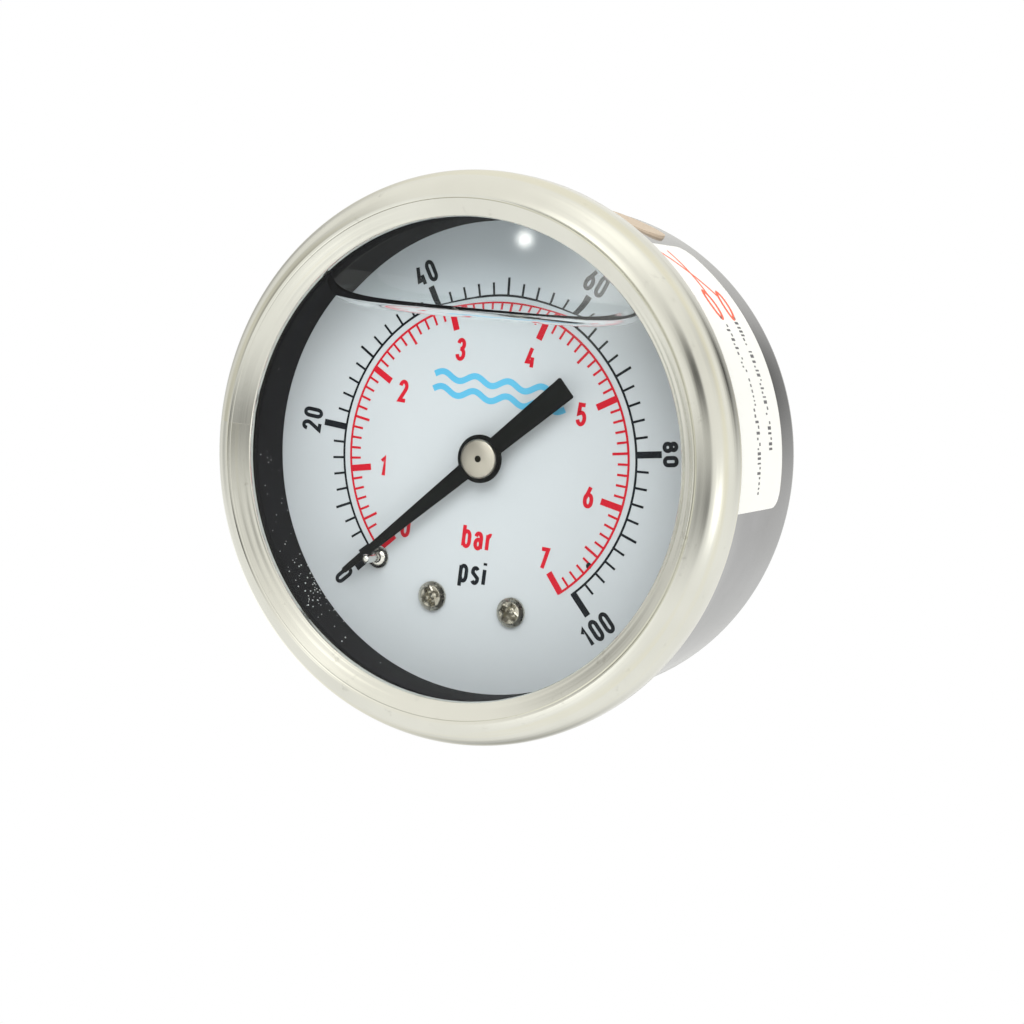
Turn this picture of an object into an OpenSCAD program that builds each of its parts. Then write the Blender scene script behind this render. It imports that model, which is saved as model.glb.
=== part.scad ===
// Liquid-filled Bourdon-tube pressure gauge, 50 mm class, centre-back connection.
// The sub-parts are drawn in the gauge's own frame: x to the right, y up, z towards the
// reader, z = 0 on the outer face of the case's back. The end of the file stands the gauge
// up: the dial faces -Y, the stem points +Y and +Z is up.

/* [Case and bezel] */
// Outer diameter of the bezel ring
bezel_d = 56; // [54:0.5:60]
// Outer diameter of the case cup
case_d = 52; // [50:0.5:52]
// Depth from the case's back to the front of its flange
case_depth = 22.7; // [22.5:0.1:24]
// Sheet thickness of the case and bezel
sheet = 0.6; // [0.4:0.1:0.8]
// Diameter of the opening inside the bezel's lip
opening_d = 46.8; // [44:0.1:47]
// Thickness of the window
window_t = 2; // [1.5:0.1:2.5]

/* [Dial] */
// Height of the dial's printed face above the case's back
dial_face = 16.2; // [16:0.1:17]
// Thickness of the dial plate
dial_t = 0.5; // [0.3:0.1:0.6]
// Direction of the zero mark, counter-clockwise from 3 o'clock
zero_angle = 225.2; // [220:0.1:230]

/* [Pointer] */
// Length from the hub's axis to the pointer's tip
pointer_len = 19.7; // [17:0.1:20.5]
// Length from the hub's axis to the end of the tail
pointer_tail = 11.8; // [8:0.1:13]
// Height of the pointer blade above the dial's face
pointer_lift = 1.8; // [1.5:0.1:2.5]

/* [Movement] */
// Gear module
gear_module = 0.2;
// Teeth on the pinion
pinion_teeth = 10;
// Teeth on a full circle of the sector gear
sector_teeth = 110;
// Mean radius of the Bourdon tube's curve
tube_r = 17; // [16.5:0.1:17.5]

/* [Connection] */
// Major diameter of the stem's thread, 1/4 inch parallel pipe thread
thread_d = 13.157;
// Length of the threaded stem
thread_len = 13; // [11:0.5:15]
// Distance across the wrench flats
flats = 14; // [14:1:17]

/* [Hidden] */
$fn = 96;
eps = 0.01;
clear = 0.03;               // radial running clearance of a pivot
gap = 0.02;                 // air left between touching pieces of different bodies

case_r = case_d / 2;
bezel_r = bezel_d / 2;
flange_r = bezel_r - sheet - 0.3;
shoulder_r = 3.8;           // radius of the bezel's rounded front shoulder
crease_r = bezel_r - 2.8;   // pressed line between the cone and the shoulder
bezel_front = case_depth + 4.9;
lip_front = bezel_front - 1.15;
window_top = lip_front - sheet;
window_bottom = window_top - window_t;
wall_r = opening_d / 2 + 0.2;   // inner radius of the gasket's tall wall
label_t = 0.1;
label_z = [5.7, 20.5];
label_a = [-3, 62];
plug_z = 8;                 // height of the filler plug on the case's side
plug_turn = -17;            // its turn from 12 o'clock
plug_r = 3;

stem_r = thread_d / 2;
hole_r = 7.6;               // hole for the socket in the case's back
square_len = 8;             // length of the wrench square behind the case
relief_len = 1.8;
spigot_r = 2.5;
spigot_len = 2;
shoulder_z = -square_len;
stem_end = shoulder_z - thread_len;
inlet_r = 1.6;
base_t = 2.6;               // thickness of the socket's base inside the case
base_z = sheet;
base_r = 14;
base_top = base_z + base_t;
seat_z = 8.6;               // face that carries the movement
block_top = 12;             // top of the block that holds the tube's root
arm_w = 13;
arm_y = -18.9;
block_y = -12.7;
screw_x = 12;               // the two case screws
ring_r = 9.9;
ring_wire = 0.75;

post_gap = 8.9;             // the two dial posts
post_shift = 0.5;
post_y = -14.7;
post_r = 1.7;
dial_back = dial_face - dial_t;

tube_w = 5.6;               // axial width of the flattened tube
tube_t = 2.2;               // radial thickness of the flattened tube
tube_wall = 0.3;
tube_z = 8;
tube_root = 254;
tube_end = -31;

plate_t = 1;
low_z = seat_z + plate_t;   // inner face of the bottom plate
high_z = 13.9;              // inner face of the top plate
top_t = 0.8;
pivot_r = 0.45;
arbor_r = 0.7;
shaft_top = dial_face + 2.3;
pillar_at = [[-4.6, 4.6], [-4.6, -4.6], [10, 6.8]];
pillar_r = 1.3;
mount_at = [[0, 6], [0, -6]];

mesh_angle = 5;             // direction from the pinion to the sector's pivot
pinion_r = gear_module * pinion_teeth / 2;
sector_r = gear_module * sector_teeth / 2;
pivot = (pinion_r + sector_r) * [cos(mesh_angle), sin(mesh_angle)];
sector_z = 11.4;
sector_t = 0.8;
tail_len = 6.5;
tail_angle = -42;
pin_r = 0.5;
tail_pin = pivot + tail_len * [cos(tail_angle), sin(tail_angle)];
tip_angle = tube_end - 4;
tip_at = tube_r * [cos(tip_angle), sin(tip_angle)];
link_z = 12.4;
link_t = 0.6;
link_play = 0.12;           // play of the open pivot between link and sector

stop_r = 16;
stop_pin_r = 0.46;
hub_w = 1.7;                // width of the pointer blade at the hub
tip_w = 0.6;
tail_w = 2.4;
blade_t = 0.3;
blade_z = dial_face + pointer_lift;
blade_at_stop = (hub_w + (tip_w - hub_w) * stop_r / pointer_len) / 2;
stop_angle = zero_angle - 0.35 + asin((blade_at_stop + stop_pin_r + gap) / stop_r);
pointer_angle = zero_angle - 0.35;

steel = [0.78, 0.77, 0.74];
brass_tint = [0.78, 0.62, 0.33];
black_tint = [0.07, 0.07, 0.08];

// A disc with a hole, standing from z0 to z1
module washer(r, hole, z0, z1) {
    translate([0, 0, z0])
        difference() {
            cylinder(r = r, h = z1 - z0);
            translate([0, 0, -1])
                cylinder(r = hole, h = z1 - z0 + 2);
        }
}

// A round bar from z0 to z1 at a point in the plane
module bar(at, r, z0, z1) {
    translate([at[0], at[1], z0])
        cylinder(r = r, h = z1 - z0, $fn = 48);
}

// A drill that clears everything from z0 to z1
module drill(at, r, z0, z1) {
    bar(at, r, z0, z1);
}

// A strip with round ends from point a to point b
module strip(a, b, r) {
    d = b - a;
    translate(a)
        rotate(atan2(d[1], d[0]))
            translate([0, -r])
                square([norm(d), 2 * r]);
    translate(a)
        circle(r = r, $fn = 48);
    translate(b)
        circle(r = r, $fn = 48);
}

// A pan-head screw: head upwards from z, shank downwards, with a crossed recess
module pan_screw(r, shank_r, head_h, length) {
    difference() {
        union() {
            cylinder(r1 = r, r2 = r * 0.82, h = head_h, $fn = 48);
            translate([0, 0, -length])
                cylinder(r = shank_r, h = length + eps, $fn = 48);
        }
        for (turn = [0, 90])
            rotate(turn)
                translate([-r * 0.6, -r * 0.13, head_h * 0.45])
                    cube([r * 1.2, r * 0.26, head_h]);
    }
}

// Half-thickness angle of an involute tooth at radius rho
function involute(rho, base) = rho <= base ? 0
    : tan(acos(base / rho)) * 180 / PI - acos(base / rho);
function half_tooth(rho, teeth, slack) =
    let (pitch_r = gear_module * teeth / 2, base = pitch_r * cos(20))
    90 / teeth * slack + involute(pitch_r, base) - involute(rho, base);

// One involute tooth pointing along +x, rooted inside root_r
module tooth(teeth, root_r, top_r, slack) {
    steps = 4;
    radii = [for (i = [0:steps]) root_r + (top_r - root_r) * i / steps];
    inner = root_r * 0.97;
    flank = [for (r = radii) r * [cos(half_tooth(r, teeth, slack)), sin(half_tooth(r, teeth, slack))]];
    wide = half_tooth(root_r, teeth, slack);
    polygon(concat([inner * [cos(wide), -sin(wide)]],
                   [for (p = flank) [p[0], -p[1]]],
                   [for (i = [steps:-1:0]) flank[i]],
                   [inner * [cos(wide), sin(wide)]]));
}

// Cross-section of the flattened tube, grown by grow on every side
module tube_section(grow) {
    half = (tube_w - tube_t) / 2;
    translate([tube_r - tube_t / 2 - grow, -half])
        square([tube_t + 2 * grow, 2 * half]);
    for (side = [-1, 1])
        translate([tube_r, side * half])
            circle(r = tube_t / 2 + grow, $fn = 48);
}

// The tube's curve between two angles as a solid bar
module tube_bar(grow, from, to) {
    translate([0, 0, tube_z])
        rotate(from)
            rotate_extrude(angle = to - from)
                tube_section(grow);
}

module case() {
    corner = 2;
    color(steel)
        difference() {
            rotate_extrude()
                difference() {
                    union() {
                        translate([0, corner])
                            square([case_r, case_depth - corner]);
                        square([case_r - corner, corner + eps]);
                        translate([case_r - corner, corner])
                            circle(r = corner);
                        translate([0, case_depth - sheet])
                            square([flange_r, sheet]);
                    }
                    translate([0, corner])
                        square([case_r - sheet, case_depth]);
                    translate([0, sheet])
                        square([case_r - corner, corner]);
                    translate([case_r - corner, corner])
                        circle(r = corner - sheet);
                }
            drill([0, 0], hole_r, -1, 2);
            for (side = [-1, 1])
                drill([side * screw_x, 0], 1.6, -1, 2);
            rotate(plug_turn)
                translate([0, 0, plug_z])
                    rotate([-90, 0, 0])
                        cylinder(r = plug_r + 0.05, h = case_r + 1, $fn = 48);
        }
}

module bezel_ring() {
    back_r = 1.6;
    back_z = case_depth - 1.3;
    hold_r = bezel_r - sheet;
    middle_r = bezel_r - shoulder_r;
    middle_z = bezel_front - sqrt(pow(shoulder_r, 2) - pow(crease_r - middle_r, 2));
    color(steel)
        difference() {
            union() {
                rotate_extrude()
                    polygon([[opening_d / 2, window_top], [opening_d / 2, lip_front],
                             [crease_r, bezel_front], [crease_r + 1, bezel_front - 1],
                             [crease_r + 1, window_top]]);
                rotate_extrude() {
                    translate([crease_r, back_z + back_r])
                        square([bezel_r - crease_r, middle_z - back_z - back_r]);
                    translate([middle_r, middle_z])
                        intersection() {
                            circle(r = shoulder_r);
                            translate([crease_r - middle_r, -eps])
                                square(shoulder_r + 1);
                        }
                    translate([bezel_r - back_r, back_z + back_r])
                        intersection() {
                            circle(r = back_r);
                            translate([-shoulder_r, -back_r])
                                square([2 * shoulder_r, back_r + eps]);
                        }
                }
            }
            rotate_extrude()
                polygon([[0, case_depth - sheet - 0.1], [hold_r - 0.25, case_depth - sheet - 0.1],
                         [hold_r, case_depth - sheet + 0.2], [hold_r, window_top - 1.2],
                         [hold_r - 0.7, window_top], [0, window_top]]);
            translate([0, 0, back_z - 1])
                cylinder(r = case_r + gap, h = case_depth - back_z + 1);
        }
}

module window() {
    color([0.85, 0.92, 0.92, 0.35])
        translate([0, 0, window_bottom])
            cylinder(r = flange_r - 0.5, h = window_t);
}

module window_gasket() {
    color(black_tint) {
        washer(case_r - sheet - 0.05, wall_r, dial_face + 0.02, case_depth + eps);
        washer(flange_r - 0.2, wall_r, case_depth, window_bottom);
    }
}

module filler_plug() {
    lip_r = plug_r + 0.7;
    color([0.85, 0.5, 0.2])
        rotate(plug_turn)
            difference() {
                translate([0, 0, plug_z])
                    rotate([-90, 0, 0]) {
                        translate([0, 0, case_r - sheet - 1.8])
                            cylinder(r = lip_r, h = 1.5, $fn = 48);
                        translate([0, 0, case_r - sheet - 0.4])
                            cylinder(r = plug_r, h = sheet + 0.45, $fn = 48);
                        translate([0, 0, case_r - 0.4])
                            cylinder(r = plug_r + 0.4, h = 0.5, $fn = 48);
                    }
                difference() {
                    translate([0, 0, plug_z - 10])
                        cylinder(r = case_r, h = 20);
                    translate([0, 0, plug_z - 11])
                        cylinder(r = case_r - sheet - 0.05, h = 22);
                    translate([0, 0, plug_z])
                        rotate([-90, 0, 0])
                            cylinder(r = plug_r, h = case_r + 1, $fn = 48);
                }
            }
}

module case_label() {
    color("white")
        rotate(label_a[0])
            translate([0, 0, label_z[0]])
                rotate_extrude(angle = label_a[1] - label_a[0])
                    translate([case_r, 0])
                        square([label_t, label_z[1] - label_z[0]]);
}

module socket() {
    color(brass_tint)
        difference() {
            union() {
                translate([0, 0, base_z])
                    cylinder(r = base_r, h = base_t);
                bar([0, 0], 8, base_top - eps, seat_z);
                translate([-arm_w / 2, arm_y, base_top - eps])
                    cube([arm_w, -arm_y, seat_z - base_top + eps]);
                translate([-arm_w / 2, arm_y, base_z])
                    cube([arm_w, block_y - arm_y, block_top - base_z]);
                for (side = [-1, 1])
                    bar([post_shift + side * post_gap / 2, post_y], post_r, block_top - eps, dial_back);
                bar([0, 0], hole_r - 0.05, -0.2, base_z + eps);
                intersection() {
                    translate([-flats / 2, -flats / 2, shoulder_z])
                        cube([flats, flats, square_len - 0.2 + eps]);
                    translate([0, 0, shoulder_z])
                        cylinder(r = flats * 0.62, h = square_len);
                }
                bar([0, 0], stem_r - 1, shoulder_z - relief_len, shoulder_z + eps);
                translate([0, 0, stem_end + 1])
                    cylinder(r = stem_r, h = thread_len - relief_len - 1);
                translate([0, 0, stem_end])
                    cylinder(r1 = stem_r - 0.9, r2 = stem_r, h = 1 + eps);
                bar([0, 0], spigot_r, stem_end - spigot_len, stem_end + eps);
            }
            drill([0, 0], inlet_r, stem_end - spigot_len - 1, 6);
            translate([0, arm_y - 1, 6 - inlet_r + 0.4])
                rotate([-90, 0, 0])
                    cylinder(r = 1.2, h = -arm_y + 1, $fn = 48);
            translate([0, 0, base_z - 1])
                difference() {
                    cylinder(r = ring_r + ring_wire + 0.05, h = 1 + 2 * ring_wire);
                    translate([0, 0, -1])
                        cylinder(r = ring_r - ring_wire - 0.05, h = 4);
                }
            tube_bar(0.02, tube_root, 240);
            for (side = [-1, 1]) {
                drill([side * screw_x, 0], 1.25, 0, base_top + 1);
                drill([post_shift + side * post_gap / 2, post_y], 0.8, dial_back - 5, dial_back + 1);
            }
            for (at = mount_at)
                drill(at, 0.8, seat_z - 4, seat_z + 1);
        }
}

module socket_o_ring() {
    color(black_tint)
        translate([0, 0, base_z + ring_wire])
            rotate_extrude()
                translate([ring_r, 0])
                    circle(r = ring_wire, $fn = 48);
}

module case_screws() {
    color(steel)
        for (side = [-1, 1])
            translate([side * screw_x, 0, 0])
                rotate([180, 0, 0])
                    pan_screw(2.6, 1.25, 1.4, base_top);
}

module restrictor_screw() {
    color(steel)
        difference() {
            bar([0, 0], inlet_r, stem_end - spigot_len + 0.4, stem_end + 3);
            drill([0, 0], 0.3, stem_end - spigot_len - 1, stem_end + 4);
            translate([-inlet_r, -0.25, stem_end - spigot_len])
                cube([2 * inlet_r, 0.5, 1.1]);
        }
}

module passage_plug() {
    color(brass_tint)
        translate([0, arm_y + 0.1, 6 - inlet_r + 0.4])
            rotate([-90, 0, 0])
                cylinder(r = 1.2, h = 0.7, $fn = 48);
}

module bourdon_tube() {
    color(brass_tint)
        difference() {
            tube_bar(0, tube_root, tube_end);
            tube_bar(-tube_wall, tube_root + 1, tube_end - 1);
        }
}

module tube_tip() {
    reach = 3.8;                // radial size of the end piece
    color(brass_tint)
        difference() {
            rotate(tip_angle)
                translate([tube_r - reach / 2, -1.6, tube_z - tube_w / 2 - 0.4])
                    cube([reach, 3.9, tube_w + 0.8]);
            tube_bar(gap, tube_end + 8, tube_end);
            drill(tip_at, pin_r, tube_z + 1, tube_z + 6);
        }
}

module tip_pin() {
    color(steel)
        bar(tip_at, pin_r, tube_z + 1, link_z + link_t + 0.3);
}

module link() {
    color(brass_tint)
        translate([0, 0, link_z])
            linear_extrude(link_t)
                difference() {
                    strip(tip_at, tail_pin, 1.1);
                    translate(tip_at)
                        circle(r = pin_r + clear, $fn = 48);
                    translate(tail_pin)
                        circle(r = pin_r + link_play, $fn = 48);
                }
}

module sector_pin() {
    color(steel)
        bar(tail_pin, pin_r, sector_z, link_z + link_t + 0.3);
}

module sector_gear() {
    root_r = sector_r - 1.25 * gear_module;
    top_r = sector_r + 0.6 * gear_module;
    step = 360 / sector_teeth;
    rim_from = mesh_angle + 180 - 30;
    rim_to = mesh_angle + 180 + 5;
    color(brass_tint)
        translate([0, 0, sector_z])
            linear_extrude(sector_t)
                difference() {
                    union() {
                        translate(pivot) {
                            difference() {
                                intersection() {
                                    circle(r = root_r);
                                    polygon([[0, 0], 20 * [cos(rim_from), sin(rim_from)],
                                             20 * [cos(rim_to), sin(rim_to)]]);
                                }
                                intersection() {
                                    circle(r = root_r - 1.6);
                                    rotate(rim_from + 5)
                                        square(20);
                                    rotate(rim_to - 5 - 90)
                                        square(20);
                                }
                            }
                            for (i = [-1:8])
                                rotate(mesh_angle + 180 - i * step)
                                    tooth(sector_teeth, root_r, top_r, 0.84);
                            circle(r = 2);
                        }
                        strip(pivot, tail_pin, 1.1);
                    }
                    translate(pivot)
                        circle(r = arbor_r, $fn = 48);
                    translate(tail_pin)
                        circle(r = pin_r, $fn = 48);
                }
}

module sector_arbor() {
    color(steel)
        union() {
            bar(pivot, arbor_r, low_z + 0.1, high_z - 0.1);
            bar(pivot, pivot_r, seat_z + 0.15, high_z + top_t);
        }
}

// Outline shared by the movement's two plates
module plate_outline() {
    strip([-4.6, 4.6], [-4.6, -4.6], 2.2);
    strip([-4.6, 4.6], [10, 6.8], 2.2);
    strip([-4.6, -4.6], pivot, 2.2);
    strip([10, 6.8], pivot, 2.2);
    strip([-4.6, 0], pivot, 2.4);
}

module bottom_plate() {
    color(brass_tint)
        difference() {
            translate([0, 0, seat_z])
                linear_extrude(plate_t)
                    union() {
                        plate_outline();
                        strip([0, 6], [0, -6], 2);
                    }
            drill([0, 0], pivot_r + clear, seat_z - 1, low_z + 1);
            drill(pivot, pivot_r + clear, seat_z - 1, low_z + 1);
            for (at = mount_at)
                drill(at, 0.9, seat_z - 1, low_z + 1);
            for (at = pillar_at)
                drill(at, 0.6, seat_z - 1, low_z + 1);
        }
}

module top_plate() {
    color(brass_tint)
        difference() {
            translate([0, 0, high_z])
                linear_extrude(top_t)
                    plate_outline();
            drill([0, 0], arbor_r + clear, high_z - 1, high_z + 2);
            drill(pivot, pivot_r + clear, high_z - 1, high_z + 2);
            for (at = pillar_at)
                drill(at, 0.7, high_z - 1, high_z + 2);
        }
}

module pillars() {
    color(brass_tint)
        for (at = pillar_at)
            difference() {
                union() {
                    bar(at, pillar_r, low_z, high_z);
                    bar(at, 0.6, seat_z, low_z + eps);
                }
                drill(at, 0.6, high_z - 2, high_z + 1);
            }
}

module plate_screws() {
    color(steel)
        for (at = pillar_at)
            translate([at[0], at[1], high_z + top_t])
                pan_screw(1.3, 0.6, 0.6, top_t + 1.8);
}

module movement_screws() {
    color(steel)
        for (at = mount_at)
            translate([at[0], at[1], low_z])
                pan_screw(1.5, 0.8, 0.8, plate_t + 3);
}

module pinion_arbor() {
    root_r = pinion_r - 1.1 * gear_module;
    top_r = pinion_r + 0.8 * gear_module;
    color(steel)
        union() {
            bar([0, 0], pivot_r, seat_z + 0.15, low_z + 0.2);
            bar([0, 0], arbor_r, low_z + 0.1, dial_face + 0.9);
            bar([0, 0], pivot_r + 0.05, dial_face + 0.8, shaft_top);
            translate([0, 0, sector_z - 0.2])
                linear_extrude(sector_t + 0.4) {
                    circle(r = root_r, $fn = 48);
                    for (i = [0:pinion_teeth - 1])
                        rotate(mesh_angle + (i + 0.5) * 360 / pinion_teeth)
                            tooth(pinion_teeth, root_r, top_r, 0.84);
                }
        }
}

// Flat spiral spring: the strip's centre line grows evenly from the collet to the stud
module hairspring() {
    turns = 5;
    inner = 1.62;
    outer = 4.2;
    wide = 0.14;
    steps = turns * 28;
    function spiral(i, side) =
        let (t = i / steps, r = inner + (outer - inner) * t + side * wide / 2)
        r * [cos(360 * turns * t + 200), sin(360 * turns * t + 200)];
    color(steel)
        translate([0, 0, sector_z + sector_t + 0.75])
            linear_extrude(0.5)
                polygon(concat([for (i = [0:steps]) spiral(i, -1)],
                               [for (i = [steps:-1:0]) spiral(i, 1)]));
}

module hairspring_collet() {
    color(brass_tint)
        washer(1.5, arbor_r, sector_z + sector_t + 0.65, sector_z + sector_t + 1.35);
}

module hairspring_stud() {
    at = 4.62 * [cos(200), sin(200)];
    color(brass_tint)
        bar(at, 0.34, sector_z + sector_t + 0.6, high_z);
}

module dial() {
    color("white")
        difference() {
            translate([0, 0, dial_back])
                cylinder(r = case_r - sheet - 0.5, h = dial_t);
            drill([0, 0], 1.6, dial_back - 1, dial_face + 1);
            for (side = [-1, 1])
                drill([post_shift + side * post_gap / 2, post_y], 0.95, dial_back - 1, dial_face + 1);
            drill(stop_r * [cos(stop_angle), sin(stop_angle)], stop_pin_r, dial_back - 1, dial_face + 1);
        }
}

module dial_screws() {
    color(steel)
        for (side = [-1, 1])
            translate([post_shift + side * post_gap / 2, post_y, dial_face])
                pan_screw(1.5, 0.8, 0.9, dial_t + 3);
}

module stop_pin() {
    at = stop_r * [cos(stop_angle), sin(stop_angle)];
    color(steel) {
        bar(at, stop_pin_r, dial_back - 0.5, dial_face + 4.4);
        translate([at[0], at[1], dial_face])
            cylinder(r1 = 1.15, r2 = 0.85, h = 0.7, $fn = 48);
    }
}

module pointer() {
    color(black_tint)
        translate([0, 0, blade_z])
            rotate(pointer_angle)
                linear_extrude(blade_t)
                    difference() {
                        union() {
                            polygon([[0, -hub_w / 2], [pointer_len - 0.2, -tip_w / 2],
                                     [pointer_len, 0], [pointer_len - 0.2, tip_w / 2], [0, hub_w / 2]]);
                            polygon([[0, -hub_w / 2], [0, hub_w / 2],
                                     [-pointer_tail, tail_w / 2], [-pointer_tail, -tail_w / 2]]);
                            circle(r = 2.4);
                        }
                        circle(r = 1.3, $fn = 48);
                    }
}

module pointer_hub() {
    color(steel)
        difference() {
            union() {
                bar([0, 0], 1.95, blade_z + blade_t, blade_z + blade_t + 0.5);
                bar([0, 0], 1.3, dial_face + 0.95, blade_z + blade_t + eps);
            }
            drill([0, 0], pivot_r + 0.05, dial_face, shaft_top);
            translate([0, 0, blade_z + blade_t + 0.35])
                cylinder(r1 = 0.25, r2 = 0.4, h = 0.2, $fn = 48);
        }
}

// The origin is the middle of the stem's end face, where the gauge seals in its port.
rotate([90, 0, 0]) translate([0, 0, spigot_len - stem_end]) {
    case();
    bezel_ring();
    window();
    window_gasket();
    filler_plug();
    case_label();
    socket();
    socket_o_ring();
    case_screws();
    restrictor_screw();
    passage_plug();
    bourdon_tube();
    tube_tip();
    tip_pin();
    link();
    sector_pin();
    sector_gear();
    sector_arbor();
    bottom_plate();
    top_plate();
    pillars();
    plate_screws();
    movement_screws();
    pinion_arbor();
    hairspring();
    hairspring_collet();
    hairspring_stud();
    dial();
    dial_screws();
    stop_pin();
    pointer();
    pointer_hub();
}
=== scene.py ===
import math
import random

import bmesh
import bpy
from mathutils import Matrix, Vector


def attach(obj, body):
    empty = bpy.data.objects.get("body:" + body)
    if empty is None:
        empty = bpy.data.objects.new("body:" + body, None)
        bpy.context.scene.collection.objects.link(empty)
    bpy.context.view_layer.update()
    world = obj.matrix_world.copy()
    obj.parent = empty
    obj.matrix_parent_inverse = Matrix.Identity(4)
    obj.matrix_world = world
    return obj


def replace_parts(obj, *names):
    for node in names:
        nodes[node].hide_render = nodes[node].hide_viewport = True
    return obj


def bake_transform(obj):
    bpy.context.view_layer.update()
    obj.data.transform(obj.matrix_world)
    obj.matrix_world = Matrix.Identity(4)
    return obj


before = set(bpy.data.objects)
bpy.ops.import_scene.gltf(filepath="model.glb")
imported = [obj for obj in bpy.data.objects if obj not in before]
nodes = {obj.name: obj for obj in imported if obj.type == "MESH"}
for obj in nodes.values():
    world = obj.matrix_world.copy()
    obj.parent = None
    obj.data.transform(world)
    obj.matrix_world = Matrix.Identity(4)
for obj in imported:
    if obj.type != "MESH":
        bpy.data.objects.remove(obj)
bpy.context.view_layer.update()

# Everything below is drawn in the gauge's own frame, in millimetres: x to the right, y up and
# z towards the reader, with z = 0 on the case's back. point() turns that into the frame's metres.
MM = 0.001
TAU = 2 * math.pi
CASE_BACK = max(v.co.y for v in nodes["case"].data.vertices)


def point(x, y, z):
    return Vector((x * MM, CASE_BACK - z * MM, y * MM))


def gauge_points(node):
    """A CAD node's vertices in the gauge's frame, in millimetres."""
    return [(v.co.x / MM, v.co.z / MM, (CASE_BACK - v.co.y) / MM) for v in nodes[node].data.vertices]


def span(node, axis):
    values = [p["xyz".index(axis)] for p in gauge_points(node)]
    return min(values), max(values)


def radii(node):
    """Smallest and largest distance of a node's vertices from the gauge's axis."""
    values = [math.hypot(p[0], p[1]) for p in gauge_points(node)]
    return min(values), max(values)


# ---------------- sizes taken from the frame
dial_face = span("dial", "z")[1]
dial_r = radii("dial")[1]
opening_r, bezel_r = radii("bezel_ring")
bezel_back, bezel_front = span("bezel_ring", "z")
window_bottom, window_top = span("window", "z")
window_r = radii("window")[1]
wall_r, gasket_r = radii("window_gasket")
gasket_bottom = span("window_gasket", "z")[0]
hole_r, flange_r = radii("case")
case_front = span("case", "z")[1]
case_r, label_r = radii("case_label")
label_back, label_front = span("case_label", "z")
blade_bottom, blade_top = span("pointer", "z")
cap_top = span("pointer_hub", "z")[1]
sheet = 0.6                             # thickness of the case's and the bezel's steel

far = max(gauge_points("pointer"), key=lambda p: -p[0] - p[1])
pointer_angle = math.degrees(math.atan2(far[1], far[0])) % 360
pointer_len = math.hypot(far[0], far[1])
pin_x, pin_y = (sum(span("stop_pin", axis)) / 2 for axis in "xy")
pin_top = span("stop_pin", "z")[1]
screw_head_r = (span("dial_screws", "y")[1] - span("dial_screws", "y")[0]) / 2
screw_y = sum(span("dial_screws", "y")) / 2
screw_xs = [x + screw_head_r * side for x, side in zip(span("dial_screws", "x"), (1, -1))]


# ---------------- mesh helpers
def link(name, data):
    """A new object in the scene."""
    obj = bpy.data.objects.new(name, data)
    bpy.context.scene.collection.objects.link(obj)
    return obj


def paint(mesh, *materials):
    """Gives a mesh these materials in place of any it had."""
    mesh.materials.clear()
    for material in materials:
        mesh.materials.append(material)


def make(name, verts, faces, material, body="gauge_body", smooth=35):
    """A piece from gauge-frame points, smooth except at edges sharper than smooth degrees."""
    mesh = bpy.data.meshes.new(name)
    mesh.from_pydata([point(*v) for v in verts], [], faces)
    return finish_mesh(name, mesh, material, body, smooth)


def finish_mesh(name, mesh, material, body, smooth):
    """Cleans a mesh and makes it a piece that rides on a body; material may be a list."""
    bm = bmesh.new()
    bm.from_mesh(mesh)
    bmesh.ops.remove_doubles(bm, verts=bm.verts, dist=1e-7)
    bmesh.ops.recalc_face_normals(bm, faces=bm.faces)
    bm.to_mesh(mesh)
    bm.free()
    mesh.polygons.foreach_set("use_smooth", [True] * len(mesh.polygons))
    mesh.set_sharp_from_angle(angle=math.radians(smooth))
    obj = link(name, mesh)
    paint(mesh, *(material if isinstance(material, list) else [material]))
    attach(obj, body)
    return obj


def fillet(corners, steps=5):
    """A closed outline from (r, z, radius) corners, each rounded by an arc of that radius."""
    outline = []
    count = len(corners)
    for i, (r, z, radius) in enumerate(corners):
        here = Vector((r, z))
        back = Vector(corners[i - 1][:2]) - here
        ahead = Vector(corners[(i + 1) % count][:2]) - here
        if radius <= 0 or back.length < 1e-6 or ahead.length < 1e-6:
            outline.append((r, z))
            continue
        half = back.angle(ahead) / 2
        reach = min(radius / math.tan(half), back.length * 0.49, ahead.length * 0.49)
        radius = reach * math.tan(half)
        centre = here + (back.normalized() + ahead.normalized()).normalized() * (radius / math.sin(half))
        a = here + back.normalized() * reach - centre
        b = here + ahead.normalized() * reach - centre
        turn = math.atan2(a.x * b.y - a.y * b.x, a.dot(b))
        for k in range(steps + 1):
            t = turn * k / steps
            outline.append((centre.x + a.x * math.cos(t) - a.y * math.sin(t),
                            centre.y + a.x * math.sin(t) + a.y * math.cos(t)))
    return outline


def arc(cx, cy, rx, ry, start, end, steps=10):
    """Points on an ellipse from start to end, in degrees."""
    turn = [math.radians(start + (end - start) * k / steps) for k in range(steps + 1)]
    return [(cx + rx * math.cos(t), cy + ry * math.sin(t)) for t in turn]


def lathe_mesh(outline, segments=256, at=(0, 0)):
    """Vertices and faces of a closed outline turned about an axis through at."""
    verts, faces = [], []
    n = len(outline)
    for k in range(segments):
        a = TAU * k / segments
        for r, z in outline:
            verts.append((at[0] + r * math.cos(a), at[1] + r * math.sin(a), z))
    for k in range(segments):
        j = (k + 1) % segments
        for i in range(n):
            m = (i + 1) % n
            if outline[i][0] < 1e-6 and outline[m][0] < 1e-6:
                continue
            quad = [k * n + i, j * n + i, j * n + m, k * n + m]
            if outline[i][0] < 1e-6:
                quad = [k * n + i, j * n + m, k * n + m]
            elif outline[m][0] < 1e-6:
                quad = [k * n + i, j * n + i, k * n + m]
            faces.append(quad)
    return verts, faces


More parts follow.
